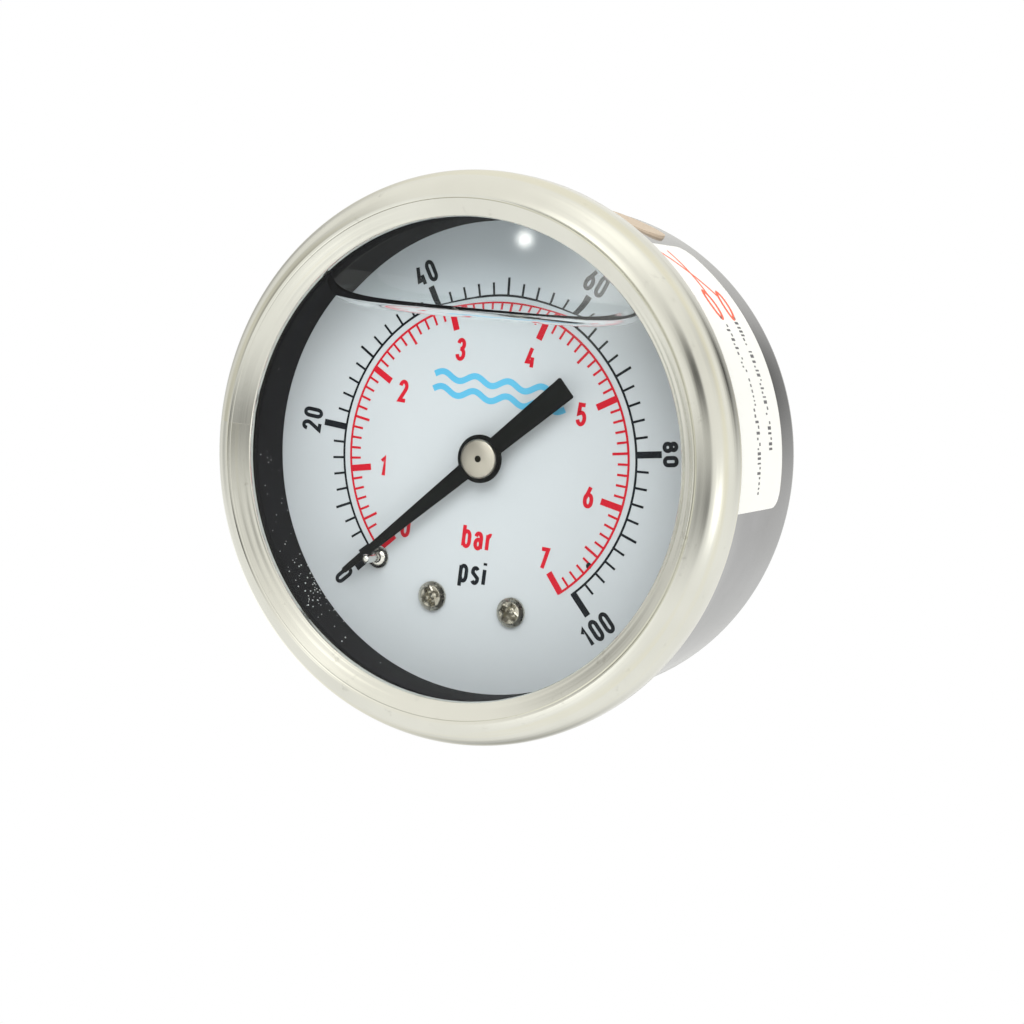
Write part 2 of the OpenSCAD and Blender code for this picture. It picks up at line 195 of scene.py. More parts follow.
def lathe(name, outline, material, body="gauge_body", segments=256, at=(0, 0), smooth=35):
    """A turned piece."""
    verts, faces = lathe_mesh(outline, segments, at)
    return make(name, verts, faces, material, body, smooth)


def join_parts(parts):
    """Several (verts, faces) lists as one."""
    verts, faces = [], []
    for v, f in parts:
        base = len(verts)
        verts += v
        faces += [[i + base for i in face] for face in f]
    return verts, faces


def ring_faces(rings, count):
    """Faces that join rings of count points, each ring to the next."""
    faces = []
    for i in range(rings - 1):
        for k in range(count):
            j = (k + 1) % count
            faces.append([i * count + k, i * count + j, (i + 1) * count + j, (i + 1) * count + k])
    return faces


def slab(outline, low, high, inset=0.0):
    """A flat counter-clockwise outline as a solid from low to high, its top edge bevelled by inset."""
    n = len(outline)
    verts = [(x, y, low) for x, y in outline]
    verts += [(x, y, high - inset) for x, y in outline]
    rings = 2
    if inset:
        for i in range(n):
            before, here, after = (Vector(outline[(i + k) % n]) for k in (-1, 0, 1))
            d1, d2 = (here - before).normalized(), (after - here).normalized()
            n1, n2 = Vector((-d1.y, d1.x)), Vector((-d2.y, d2.x))
            move = (n1 + n2) / max(0.35, 1 + n1.dot(n2))
            verts.append((here.x + move.x * inset, here.y + move.y * inset, high))
        rings = 3
    caps = [list(range(n))[::-1], [i + (rings - 1) * n for i in range(n)]]
    return verts, caps + ring_faces(rings, n)


def ribbon(path, width, low, high, closed=False):
    """A flat stroke of even width along a path of (x, y) points, from low to high."""
    pts = [Vector(p) for p in path]
    n = len(pts)
    left, right = [], []
    for i, p in enumerate(pts):
        before = pts[i - 1] if i or closed else None
        after = pts[(i + 1) % n] if i < n - 1 or closed else None
        d1 = (p - before).normalized() if before is not None else (after - p).normalized()
        d2 = (after - p).normalized() if after is not None else d1
        n1, n2 = Vector((-d1.y, d1.x)), Vector((-d2.y, d2.x))
        move = (n1 + n2) / max(0.5, 1 + n1.dot(n2)) * (width / 2)
        left.append(p + move)
        right.append(p - move)
    verts = []
    for z in (low, high):
        verts += [(v.x, v.y, z) for v in left] + [(v.x, v.y, z) for v in right]
    faces = []
    for i in range(n if closed else n - 1):
        j = (i + 1) % n
        faces += [[i, n + i, n + j, j], [2 * n + i, 2 * n + j, 3 * n + j, 3 * n + i],
                  [i, j, 2 * n + j, 2 * n + i], [n + i, 3 * n + i, 3 * n + j, n + j]]
    if not closed:
        faces += [[0, 2 * n, 3 * n, n], [n - 1, 2 * n - 1, 4 * n - 1, 3 * n - 1]]
    return verts, faces


# ---------------- material helpers
class Shader:
    """The nodes of a material or a world, with short calls to add them and feed their inputs."""

    def __init__(self, data, output="OutputMaterial"):
        data.use_nodes = True
        self.data = data
        self.tree = data.node_tree
        self.tree.nodes.clear()
        self.out = self.add(output)

    def add(self, kind, inputs=None, **settings):
        made = self.tree.nodes.new("ShaderNode" + kind)
        for key, value in settings.items():
            setattr(made, key, value)
        for key, value in (inputs or {}).items():
            if isinstance(value, bpy.types.NodeSocket):
                self.tree.links.new(value, made.inputs[key])
            else:
                made.inputs[key].default_value = value
        return made

    def finish(self, surface):
        self.tree.links.new(surface, self.out.inputs[0])
        return self.data

    def math(self, operation, a, b=0.0, c=0.0):
        return self.add("Math", {0: a, 1: b, 2: c}, operation=operation).outputs[0]

    def squares(self, a, b):
        """The square of a plus the square of b."""
        return self.math("ADD", self.math("MULTIPLY", a, a), self.math("MULTIPLY", b, b))

    def place(self):
        """The shaded point in the object's own frame, in metres."""
        return self.add("TexCoord").outputs["Object"]

    def noise(self, scale, detail=3.0, vector=None, roughness=0.5):
        return self.add("TexNoise", {"Vector": vector or self.place(), "Scale": scale, "Detail": detail,
                                     "Roughness": roughness}).outputs["Fac"]

    def ramp(self, value, low, high, start=0.0, end=1.0):
        return self.add("MapRange", {"Value": value, "From Min": low, "From Max": high,
                                     "To Min": start, "To Max": end}).outputs[0]

    def mix(self, fac, a, b):
        made = self.add("Mix", data_type="RGBA")
        for socket, value in ((made.inputs[0], fac), (made.inputs[6], a), (made.inputs[7], b)):
            if isinstance(value, bpy.types.NodeSocket):
                self.tree.links.new(value, socket)
            else:
                socket.default_value = value
        return made.outputs[2]

    def bump(self, height, strength, distance):
        return self.add("Bump", {"Height": height, "Strength": strength,
                                 "Distance": distance}).outputs["Normal"]

    def principled(self, **inputs):
        named = {key.replace("_", " "): value for key, value in inputs.items()}
        return self.finish(self.add("BsdfPrincipled", named).outputs[0])


def material_nodes(name):
    return Shader(bpy.data.materials.new(name))


def rgb(r, g, b):
    return (r, g, b, 1.0)


# WORN_STEEL is the colour of wear; the yellow colour beside it is painted reflection of a warm room.
WORN_STEEL, WARM_STREAK_REFLECTION = rgb(0.42, 0.40, 0.34), rgb(0.84, 0.80, 0.60)
# Painted shade: the near-black of the hub's centre dimple, standing in for shade in a deep hole.
DIMPLE_SHADE = rgb(0.035, 0.032, 0.02)
STREAK_TURN = 0.0006            # metres of noise per radian: small, so that marks run round the axis
RIPPLE_HEIGHT = 44.0            # how much taller the slow ripples are than the fine marks
FINE_BUMP = 0.000006            # height of the fine marks, metres


def turned_metal(name, bright, dull, rough, streak=0.5, wear_and_reflection=0.0):
    """Metal with fine marks that run round the gauge's axis, and slow blotches of colour. The last argument
    is how much it is worn and rippled, and how strongly it is streaked with yellow painted reflection."""
    s = material_nodes(name)
    x, y, z = s.add("SeparateXYZ", {0: s.place()}).outputs
    radius = s.math("SQRT", s.squares(x, z))
    round_axis = s.math("MULTIPLY", s.math("ARCTAN2", z, x), STREAK_TURN)
    rings = s.add("CombineXYZ", {0: radius, 1: round_axis, 2: y}).outputs[0]
    fine = s.noise(5200, 4, rings, 0.65)
    blotch = s.noise(90, 3)
    wear = s.noise(900, 5, roughness=0.7)
    colour = s.mix(s.ramp(blotch, 0.35, 0.65), rgb(*bright), rgb(*dull))
    worn = s.math("MULTIPLY", s.ramp(s.noise(420, 6, roughness=0.8), 0.60, 0.76), wear_and_reflection)
    colour = s.mix(worn, colour, WORN_STEEL)
    ripple = s.noise(950, 2, rings, 0.4)
    # Yellow streaks round the axis: painted reflection, standing in for warm highlights mirrored in the
    # steel.
    painted_reflection_streak = s.math("MULTIPLY", s.ramp(s.noise(600, 2, rings), 0.54, 0.66), wear_and_reflection)
    colour = s.mix(painted_reflection_streak, colour, WARM_STREAK_REFLECTION)
    roughness = s.math("ADD", s.ramp(fine, 0.3, 0.7, rough * 0.8, rough * 1.25),
                       s.ramp(wear, 0.55, 0.8, 0.0, 0.12))
    marks = s.math("ADD", fine, s.math("MULTIPLY", wear, 0.4))
    normal = s.bump(s.math("MULTIPLY_ADD", ripple, RIPPLE_HEIGHT * wear_and_reflection, marks), streak, FINE_BUMP)
    return s.principled(Base_Color=colour, Metallic=1.0, Roughness=roughness, Normal=normal)


def plain_metal(name, bright, dull, rough, grain=1500, mark=0.0):
    """Machined or stamped metal: even grain, faint tarnish, slightly rough. A mark is the radius of a
    dimple on the gauge's axis, darkened with painted shade."""
    s = material_nodes(name)
    tarnish = s.noise(260, 4)
    fine = s.noise(grain, 6, roughness=0.7)
    colour = s.mix(s.ramp(tarnish, 0.4, 0.7), rgb(*bright), rgb(*dull))
    if mark:
        x, _, z = s.add("SeparateXYZ", {0: s.place()}).outputs
        # Painted shade in the dimple: near-black within the mark's radius.
        colour = s.mix(s.ramp(s.squares(x, z), mark ** 2, (1.15 * mark) ** 2), DIMPLE_SHADE, colour)
    roughness = s.ramp(fine, 0.3, 0.7, rough * 0.75, rough * 1.3)
    return s.principled(Base_Color=colour, Metallic=1.0, Roughness=roughness,
                        Normal=s.bump(fine, 0.35, 0.00001))


def rubber(name, colour, dusty, rough, sheen):
    """Moulded rubber with a little dust on it."""
    s = material_nodes(name)
    dust = s.noise(700, 6, roughness=0.75)
    skin = s.noise(3000, 3)
    base = s.mix(s.ramp(dust, 0.52, 0.85), rgb(*colour), rgb(*dusty))
    return s.principled(Base_Color=base, Roughness=s.ramp(skin, 0.3, 0.7, rough * 0.85, rough * 1.15),
                        Specular_IOR_Level=sheen, Normal=s.bump(skin, 0.4, 0.00002))


def painted(name, colour, worn, rough, texture=1800, sheen=0.5):
    """Paint, ink or lacquer with a faint orange peel."""
    s = material_nodes(name)
    peel = s.noise(texture, 4)
    slow = s.noise(60, 2)
    base = s.mix(s.ramp(slow, 0.3, 0.7), rgb(*colour), rgb(*worn))
    return s.principled(Base_Color=base, Roughness=s.ramp(peel, 0.3, 0.7, rough * 0.85, rough * 1.15),
                        Specular_IOR_Level=sheen, Normal=s.bump(peel, 0.25, 0.00001))


def clear(name, ior, tint, wets=False):
    """Clear glass or liquid. Light from lamps and off matt surfaces goes straight through it, so the
    dial behind is lit evenly. Where liquid wets the surface, the surface vanishes."""
    s = material_nodes(name)
    colour = rgb(*tint)
    glass = s.add("BsdfGlass", {"Color": colour, "Roughness": 0.0, "IOR": ior}).outputs[0]
    path = s.add("LightPath")
    soft = s.math("MAXIMUM", path.outputs["Is Shadow Ray"], path.outputs["Is Diffuse Ray"])
    if wets:
        wet = wetted(s)
        soft = s.math("MAXIMUM", soft, wet)
        colour = s.mix(wet, colour, rgb(1, 1, 1))
    through = s.add("BsdfTransparent", {"Color": colour}).outputs[0]
    return s.finish(s.add("MixShader", {0: soft, 1: glass, 2: through}).outputs[0])


def wetted(s):
    """One where the window's inner face is under liquid, as liquid_height() has it, and zero above."""
    at = s.add("SeparateXYZ", {0: s.place()}).outputs
    x, y = s.math("DIVIDE", at[0], MM), s.math("DIVIDE", at[2], MM)
    radius = s.math("SQRT", s.squares(x, y))
    gap = s.math("MAXIMUM", s.math("SUBTRACT", wall_r + WALL_LAP, radius), 0.0)
    wall = s.math("MULTIPLY", s.math("EXPONENT", s.math("DIVIDE", gap, -WALL_REACH)), WALL_CLIMB)
    depth = window_bottom - dial_face
    base = LEVEL - LEAN * depth / 2 + CLIMB + CLIMB * math.exp(-depth / REACH)
    height = s.math("ADD", s.math("ADD", s.math("MULTIPLY", x, SLANT), base), wall)
    return s.math("LESS_THAN", y, height)


def unseen(name):
    """A face where liquid touches glass: nothing shows."""
    s = material_nodes(name)
    return s.finish(s.add("BsdfTransparent").outputs[0])


# ---------------- materials
# Only the bezel carries wear and the yellow streaks of painted reflection.
bezel_steel = turned_metal("bezel_steel", (0.86, 0.855, 0.785), (0.79, 0.785, 0.715), 0.13, wear_and_reflection=0.5)
case_steel = turned_metal("case_steel", (0.40, 0.40, 0.415), (0.34, 0.34, 0.35), 0.12, 0.25)
screw_steel = plain_metal("screw_steel", (0.60, 0.58, 0.50), (0.40, 0.38, 0.32), 0.28, grain=900)
# The hub's centre dimple is darkened with painted shade.
hub_steel = plain_metal("hub_steel", (0.62, 0.59, 0.52), (0.48, 0.45, 0.39), 0.35, mark=0.31 * MM)
stem_brass = plain_metal("stem_brass", (0.86, 0.66, 0.33), (0.70, 0.52, 0.27), 0.25)
movement_brass = plain_metal("movement_brass", (0.88, 0.69, 0.36), (0.76, 0.58, 0.30), 0.22)
tube_bronze = plain_metal("tube_bronze", (0.80, 0.54, 0.31), (0.62, 0.41, 0.25), 0.3)
spring_bronze = plain_metal("spring_bronze", (0.84, 0.60, 0.36), (0.70, 0.50, 0.30), 0.25)
pin_steel = plain_metal("pin_steel", (0.78, 0.77, 0.73), (0.62, 0.60, 0.55), 0.2)
black_rubber = rubber("black_rubber", (0.004, 0.004, 0.006), (0.008, 0.008, 0.010), 0.55, 0.02)
amber_rubber = rubber("amber_rubber", (0.58, 0.47, 0.36), (0.62, 0.53, 0.43), 0.5, 0.35)
label_white = painted("label_white", (0.90, 0.90, 0.885), (0.87, 0.88, 0.86), 0.38)
dial_white = painted("dial_white", (0.585, 0.63, 0.675), (0.57, 0.615, 0.66), 0.6, sheen=0.1)
ink_black = painted("ink_black", (0.006, 0.009, 0.014), (0.01, 0.013, 0.018), 0.6, sheen=0.03)
ink_red = painted("ink_red", (0.62, 0.012, 0.03), (0.56, 0.01, 0.026), 0.6, sheen=0.03)
ink_blue = painted("ink_blue", (0.10, 0.45, 0.72), (0.13, 0.50, 0.76), 0.6, sheen=0.05)
ink_grey = painted("ink_grey", (0.10, 0.10, 0.11), (0.20, 0.20, 0.21), 0.6, sheen=0.2)
ink_sign = painted("ink_sign", (0.88, 0.16, 0.09), (0.80, 0.13, 0.08), 0.5, sheen=0.2)
bubble_glint = painted("bubble_glint", (0.75, 0.78, 0.78), (0.6, 0.63, 0.64), 0.2)
pointer_paint = painted("pointer_paint", (0.004, 0.005, 0.005), (0.007, 0.008, 0.008), 0.45, sheen=0.05)

LEVEL = 13.6                    # height of the liquid's surface above the gauge's axis, far from walls
LEAN = 0.15                     # rise of the surface towards the dial, as the gauge leans back a little
SLANT = 0.042                   # rise of the surface towards the right, at the window
TWIST = 0.004                   # how much steeper that rise gets with each step towards the dial
CLIMB, REACH = 1.7, 1.4         # how far the liquid climbs window and dial, and how fast that fades
WALL_CLIMB, WALL_REACH = 2.4, 2.0   # the same on the rubber wall
WALL_LAP = 0.12                 # how far the liquid's skin sits inside the rubber wall
LIQUID_IOR = 1.47
window_glass = clear("window_glass", LIQUID_IOR, (0.985, 0.995, 0.99))
# Its faint blue-grey tint, left off where the liquid wets the glass, is painted shade: it darkens the dial
# seen above the liquid.
window_inner = clear("window_inner", LIQUID_IOR, (0.965, 0.985, 1.0), wets=True)
glycerine = clear("glycerine", LIQUID_IOR, (0.97, 0.985, 0.98))
glycerine_wet = unseen("glycerine_wet")


# ---------------- steel shell
def bezel():
    """The crimped ring: a cone that falls to the lip, a pressed line, a round shoulder, a rolled back."""
    lip_front = window_top + sheet
    shoulder = 3.8
    crease_r = bezel_r - 2.8
    middle_r = bezel_r - shoulder
    middle_z = bezel_front - math.sqrt(shoulder ** 2 - (crease_r - middle_r) ** 2)
    roll = 1.6
    inner_r = bezel_r - sheet
    groove = 0.13
    outer = [(opening_r, lip_front - 0.32), (opening_r + 0.04, lip_front - 0.1),
             (opening_r + 0.14, lip_front + 0.02), (opening_r + 0.3, lip_front + 0.08)]
    outer += [(opening_r + (crease_r - opening_r) * t,
               lip_front + (bezel_front - lip_front) * (0.9 * t + 0.1 * t * t) - 0.02)
              for t in (0.3, 0.4, 0.5, 0.6, 0.7, 0.8, 0.88)]
    outer += [(crease_r - 0.16, bezel_front - 0.13), (crease_r - 0.05, bezel_front - 0.12 - groove),
              (crease_r + 0.06, bezel_front - 0.08 - groove)]
    outer += arc(middle_r, middle_z, shoulder, shoulder, 71.5, 0, 18)
    outer += arc(bezel_r - roll, bezel_back + roll, roll, roll, -4, -88, 14)
    inner = [(case_r + 0.05, bezel_back + 0.25), (case_r + 0.3, bezel_back + sheet),
             (inner_r, bezel_back + sheet), (inner_r, window_top - 1.2),
             (window_r + 0.1, window_top), (opening_r, window_top)]
    ring = lathe("bezel", outer + inner, bezel_steel, segments=360, smooth=50)
    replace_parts(ring, "bezel_ring")


def case_shell():
    """The cup: polished wall, rounded back corner, turned-out flange, hole for the socket."""
    corner = 2.0
    outline = [(hole_r, 0)]
    outline += [(r, 0) for r in (12, 17, 21)]
    outline += arc(case_r - corner, corner, corner, corner, -90, 0, 12)
    outline += [(case_r, 8), (case_r, 14), (case_r, case_front - sheet - 0.5),
                (case_r + 0.15, case_front - sheet - 0.15), (case_r + 0.5, case_front - sheet),
                (flange_r, case_front - sheet), (flange_r, case_front), (case_r - sheet, case_front)]
    outline += arc(case_r - corner, corner, corner - sheet, corner - sheet, 0, -90, 8)
    outline += [(hole_r, sheet)]
    shell = lathe("case_cup", outline, case_steel, segments=360, smooth=40)
    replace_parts(shell, "case")


def gasket():
    outline = fillet([(wall_r, gasket_bottom, 0.15), (wall_r, window_bottom, 0.12),
                      (gasket_r, window_bottom, 0.2), (gasket_r, case_front, 0.1),
                      (case_r - sheet - 0.05, case_front, 0), (case_r - sheet - 0.05, gasket_bottom, 0.2)])
    ring = lathe("gasket_ring", outline, black_rubber, smooth=45)
    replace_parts(ring, "window_gasket")


def window_disc():
    edge = 0.25
    outline = [(0, window_top), (window_r - edge, window_top), (window_r, window_top - edge),
               (window_r, window_bottom + edge), (window_r - edge, window_bottom), (0, window_bottom)]
    disc = lathe("window_disc", outline, [window_glass, window_inner], segments=192)
    for face in disc.data.polygons:
        inward = all(abs(disc.data.vertices[i].co.y - point(0, 0, window_bottom).y) < 1e-6
                     for i in face.vertices)
        face.material_index = 1 if inward else 0
    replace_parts(disc, "window")


# ---------------- liquid
def liquid_height(x, z):
    """Height of the free surface: flat, and climbing at the window, the dial and the wall."""
    mid = (dial_face + window_bottom) / 2
    flat = LEVEL + (SLANT + TWIST * (window_bottom - z)) * x + LEAN * (mid - z)
    flat += sum(CLIMB * math.exp(-max(d, 0.0) / REACH) for d in (z - dial_face, window_bottom - z))
    low, high = flat, flat + WALL_CLIMB
    for _ in range(30):
        y = (low + high) / 2
        gap = max(wall_r + WALL_LAP - math.hypot(x, y), 0.0)
        if flat + WALL_CLIMB * math.exp(-gap / WALL_REACH) > y:
            low = y
        else:
            high = y
    return low


def liquid():
    """The glycerine: slices from the dial to the window, each bounded by the wall and the free surface."""
    radius = wall_r + WALL_LAP
    back, front = dial_face - 0.1, window_bottom + 0.02
    depth = front - back
    stops = [0, 0.02, 0.045, 0.075, 0.11, 0.15, 0.2, 0.26, 0.33, 0.41, 0.5]
    slices = [back + depth * t for t in stops] + [front - depth * t for t in stops[-2::-1]]
    across, around = 110, 160
    verts = []
    for z in slices:
        ends = []               # where the surface meets the wall, right and left
        for side in (1, -1):
            low, high = 0.0, radius
            for _ in range(40):
                x = (low + high) / 2
                if math.hypot(x, liquid_height(side * x, z)) > radius - 1e-4:
                    high = x
                else:
                    low = x
            ends.append(side * low)
        right, left = (math.atan2(math.sqrt(radius ** 2 - x ** 2), x) for x in ends)
        for k in range(around):
            a = right - (right + TAU - left) * k / (around - 1)
            verts.append((radius * math.cos(a), radius * math.sin(a), z))
        for k in range(1, across):
            t = 0.5 - 0.5 * math.cos(math.pi * k / across)
            x = ends[1] + (ends[0] - ends[1]) * t
            verts.append((x, liquid_height(x, z), z))
    n = around + across - 1
    faces = ring_faces(len(slices), n)
    faces.append(list(range(n)))
    faces.append([(len(slices) - 1) * n + i for i in range(n)][::-1])
    fill = make("glycerine_fill", verts, faces, [glycerine, glycerine_wet], smooth=30)
    for face in fill.data.polygons:
        if all(abs(fill.data.vertices[i].co.y - point(0, 0, front).y) < 1e-6 for i in face.vertices):
            face.material_index = 1


# ---------------- dial and its print
def dial_plate():
    back, hole = span("dial", "z")[0], radii("dial")[0]
    outline = [(hole, back), (hole, dial_face)]
    outline += [(r, dial_face) for r in (6, 12, 18, 22)]
    outline += [(dial_r - 0.06, dial_face), (dial_r, dial_face - 0.06), (dial_r, back)]
    plate = lathe("dial_plate", outline, dial_white, segments=192)
    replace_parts(plate, "dial")


INK_LOW, INK_HIGH = dial_face - 0.01, dial_face + 0.02
ARC_BLACK, ARC_RED = 16.19, 15.38       # radii of the two scale arcs
PSI_STEP = 2.789                        # degrees for one psi on the even part of the scale
PSI_START = 233.2                       # where the even part would put zero
BAR_IN_PSI = 14.504
ZERO_MARK = 225.9                       # where zero is printed, squeezed against the stop pin
TALL, WIDE, STROKE = 2.3, 1.08, 0.4     # height, width and stroke of a figure
FINE, MIDDLE, HEAVY = 0.23, 0.26, 0.66  # widths of the marks
INK_STEP = 0.002                        # difference in height between crossing strokes


def psi_angle(value):
    return ZERO_MARK if value == 0 else PSI_START - PSI_STEP * value


def bar_angle(value):
    return ZERO_MARK if value == 0 else PSI_START - PSI_STEP * BAR_IN_PSI * value


def polar(radius, angle):
    a = math.radians(angle)
    return radius * math.cos(a), radius * math.sin(a)


def spoke(angle, inner, outer, width):
    return ribbon([polar(inner, angle), polar(outer, angle)], width, INK_LOW, INK_HIGH)


def scale_arc(radius, start, end):
    return ribbon(arc(0, 0, radius, radius, start, end, 160), FINE, INK_LOW, INK_HIGH)


def bowl(top, wide=1.0, low=0.0):
    """A closed loop with round ends, the height of a small letter's bowl."""
    r = wide / 2
    tall = min(r, (top - low) / 2)
    return arc(r, top - tall, r, tall, 0, 180, 9) + arc(r, low + tall, r, tall, 180, 360, 9)


def glyph(sign):
    """Strokes of a figure or letter in a cell one wide and two high: [(points, closed), ...]."""
    small = 1.45
    shapes = {
        "0": [(bowl(2.0), True)],
        "1": [([(0.12, 1.5), (0.6, 2.0), (0.6, 0.0)], False)],
        "2": [(arc(0.5, 1.5, 0.5, 0.5, 175, -38, 12) + [(0.02, 0.0), (1.0, 0.0)], False)],
        "3": [(arc(0.48, 1.53, 0.45, 0.47, 170, -85, 12) + [(0.36, 1.06)], False),
              ([(0.36, 1.06)] + arc(0.48, 0.53, 0.52, 0.53, 80, -172, 13), False)],
        "4": [([(0.6, 2.0), (0.0, 0.55), (1.05, 0.55)], False), ([(0.78, 1.05), (0.78, 0.0)], False)],
        "5": [([(0.93, 2.0), (0.12, 2.0), (0.07, 1.08)] + arc(0.47, 0.6, 0.53, 0.6, 118, -165, 13), False)],
        "6": [(bowl(1.22), True), ([(0.06, 0.8), (0.68, 2.0)], False)],
        "7": [([(0.0, 2.0), (1.0, 2.0), (0.36, 0.0)], False)],
        "8": [(bowl(1.12), True), (bowl(2.0, 0.9, 1.12), True)],
        "b": [([(0.0, 2.0), (0.0, 0.0)], False), (bowl(small, 0.95), True)],
        "a": [(arc(0.45, 1.0, 0.45, 0.45, 165, 0, 8) + [(0.9, 0.0)], False), (bowl(0.85, 0.9), True)],
        "r": [([(0.0, small), (0.0, 0.0)], False), (arc(0.45, 0.95, 0.45, 0.5, 180, 75, 7), False)],
        "p": [([(0.0, small), (0.0, -0.55)], False), (bowl(small, 0.95), True)],
        "s": [(arc(0.45, 1.08, 0.42, 0.37, 30, 200, 9) + arc(0.45, 0.37, 0.43, 0.37, 20, -150, 9), False)],
        "i": [([(0.0, small), (0.0, 0.0)], False), ([(0.0, 1.85), (0.0, 2.1)], False)],
    }
    return shapes[sign]


def word(text, centre, turn, height=TALL, gap=0.28):
    """A row of figures centred on a point; turn is the direction of reading, in degrees."""
    widths = {"1": 0.72, "i": 0.0, "r": 0.62, "a": 0.9, "s": 0.88, "b": 0.95, "p": 0.95}
    sx = WIDE - STROKE
    sy = (height - STROKE) / 2
    space = gap + STROKE
    total = sum(widths.get(c, 1.0) * sx for c in text) + space * (len(text) - 1)
    x = -total / 2
    a = math.radians(turn)
    parts = []
    for c in text:
        for points, closed in glyph(c):
            placed = []
            for px, py in points:
                u, v = x + px * sx, (py - 1) * sy
                placed.append((centre[0] + u * math.cos(a) - v * math.sin(a),
                               centre[1] + u * math.sin(a) + v * math.cos(a)))
            parts.append(ribbon(placed, STROKE, INK_LOW, INK_HIGH, closed))
        x += widths.get(c, 1.0) * sx + space
    return parts


def print_on_dial(name, parts, ink):
    """One piece of a print's strokes, each a hair higher or lower, so that crossing strokes never share
    a plane."""
    lifted = []
    for k, (verts, faces) in enumerate(parts):
        rise = INK_STEP * (1 + k % 3 if k else 4)
        lifted.append(([(x, y, z + rise) for x, y, z in verts], faces))
    verts, faces = join_parts(lifted)
    make(name, verts, faces, ink, smooth=20)


def black_print():
    """The psi scale, with the unit's name and a small blot by the last mark."""
    parts = [scale_arc(ARC_BLACK, psi_angle(0) + 0.9, psi_angle(100) - 1.0)]
    for value in [0] + list(range(4, 101, 2)):
        if value % 20 == 0:
            parts.append(spoke(psi_angle(value), ARC_BLACK - 0.05, 18.8, HEAVY))
        elif value % 10 == 0:
            parts.append(spoke(psi_angle(value), ARC_BLACK, 18.0, MIDDLE))
        else:
            parts.append(spoke(psi_angle(value), ARC_BLACK, 17.5, FINE))
    for value, radius, tall in ((20, 20.3, TALL), (40, 20.25, TALL), (60, 20.3, TALL), (80, 19.7, 1.6)):
        angle = psi_angle(value)
        parts += word(str(value), polar(radius, angle), angle - 90, height=tall)
    for value, angle in ((0, ZERO_MARK - 0.9), (100, psi_angle(100))):
        parts += word(str(value), polar(20.45, angle), angle + 90)
    parts += word("psi", (0.15, -11.5), 0, height=2.5, gap=0.3)
    parts.append(slab(arc(12.55, -8.6, 0.3, 0.34, 0, 324, 9), INK_LOW, INK_HIGH))
    print_on_dial("print_black", parts, ink_black)


def red_print():
    """The bar scale, with the unit's name."""
    parts = [scale_arc(ARC_RED, bar_angle(0) + 1.0, bar_angle(7) - 0.9)]
    for step in [0] + list(range(4, 71)):
        value = step / 10
        if step % 10 == 0:
            parts.append(spoke(bar_angle(value), ARC_RED + 0.05, 13.1, HEAVY))
        elif step % 5 == 0:
            parts.append(spoke(bar_angle(value), ARC_RED, 13.7, MIDDLE))
        else:
            parts.append(spoke(bar_angle(value), ARC_RED, 14.25, FINE))
    for value in range(8):
        across, rise = polar(1, bar_angle(value))
        radius = 12.35 - 0.5 * abs(across) - (1.12 if rise > 0 else 0.75) * abs(rise)
        nudge = 0.35 if value == 7 else 0.0
        parts += word(str(value), (radius * across + nudge, radius * rise), 0)
    parts += word("bar", (0.25, -8.0), 0, height=2.5, gap=0.3)
    print_on_dial("print_red", parts, ink_red)


def blue_print():
    """Two plain waves, a generic sign for a liquid, where a maker would print a mark."""
    parts = []
    start, length, height, crests = -6.7, 14.6, 0.36, 4
    for middle in (7.55, 7.55 - 1.5):
        wave = [(start + length * t, middle + height * math.sin(TAU * crests * t))
                for t in (k / 96 for k in range(97))]
        parts.append(ribbon(wave, 0.62, INK_LOW, INK_HIGH))
    print_on_dial("print_blue", parts, ink_blue)


# ---------------- pointer, hub, pin, screws
def pointer_blade():
    """A stamped blade: fine tip, round hub, tail that widens to a square end."""
    hub_r, hub_w, tip_w, tail_w = 2.4, 1.7, 0.6, 2.4
    tail = 11.8
    a = math.radians(pointer_angle)
    join = math.sqrt(hub_r ** 2 - (hub_w / 2) ** 2)
    tail_side = (hub_w + (tail_w - hub_w) * join / tail) / 2
    half_tip = tip_w / 2
    edge = math.degrees(math.asin(hub_w / 2 / hub_r))
    edge_tail = math.degrees(math.asin(tail_side / hub_r))
    outline = [(pointer_len - 0.2, -half_tip), (pointer_len, -half_tip * 0.3),
               (pointer_len, half_tip * 0.3), (pointer_len - 0.2, half_tip)]
    outline += arc(0, 0, hub_r, hub_r, edge, 180 - edge_tail, 18)
    outline += [(-tail + 0.12, tail_w / 2), (-tail, tail_w / 2 - 0.12),
                (-tail, -tail_w / 2 + 0.12), (-tail + 0.12, -tail_w / 2)]
    outline += arc(0, 0, hub_r, hub_r, 180 + edge_tail, 360 - edge, 18)
    turned = [(x * math.cos(a) - y * math.sin(a), x * math.sin(a) + y * math.cos(a)) for x, y in outline]
    verts, faces = slab(turned, blade_bottom, blade_top, 0.05)
    blade = make("pointer_blade", verts, faces, pointer_paint, "pointer_set", 30)
    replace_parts(blade, "pointer")


def hub_cap():
    """The turned cap on the hub, with the lathe's centre mark."""
    cap_r, neck_r = radii("pointer_hub")[1], 1.3
    bottom, low = blade_top + 0.02, span("pointer_hub", "z")[0]
    outline = [(0, cap_top - 0.16), (0.2, cap_top - 0.14), (0.3, cap_top - 0.03), (0.34, cap_top),
               (0.37, cap_top), (cap_r - 0.16, cap_top - 0.01), (cap_r - 0.06, cap_top - 0.05),
               (cap_r - 0.01, cap_top - 0.12), (cap_r, cap_top - 0.2), (cap_r, bottom),
               (neck_r, bottom), (neck_r, low), (0, low)]
    cap = lathe("hub_cap", outline, hub_steel, "pointer_set", 96, smooth=40)
    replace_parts(cap, "pointer_hub")


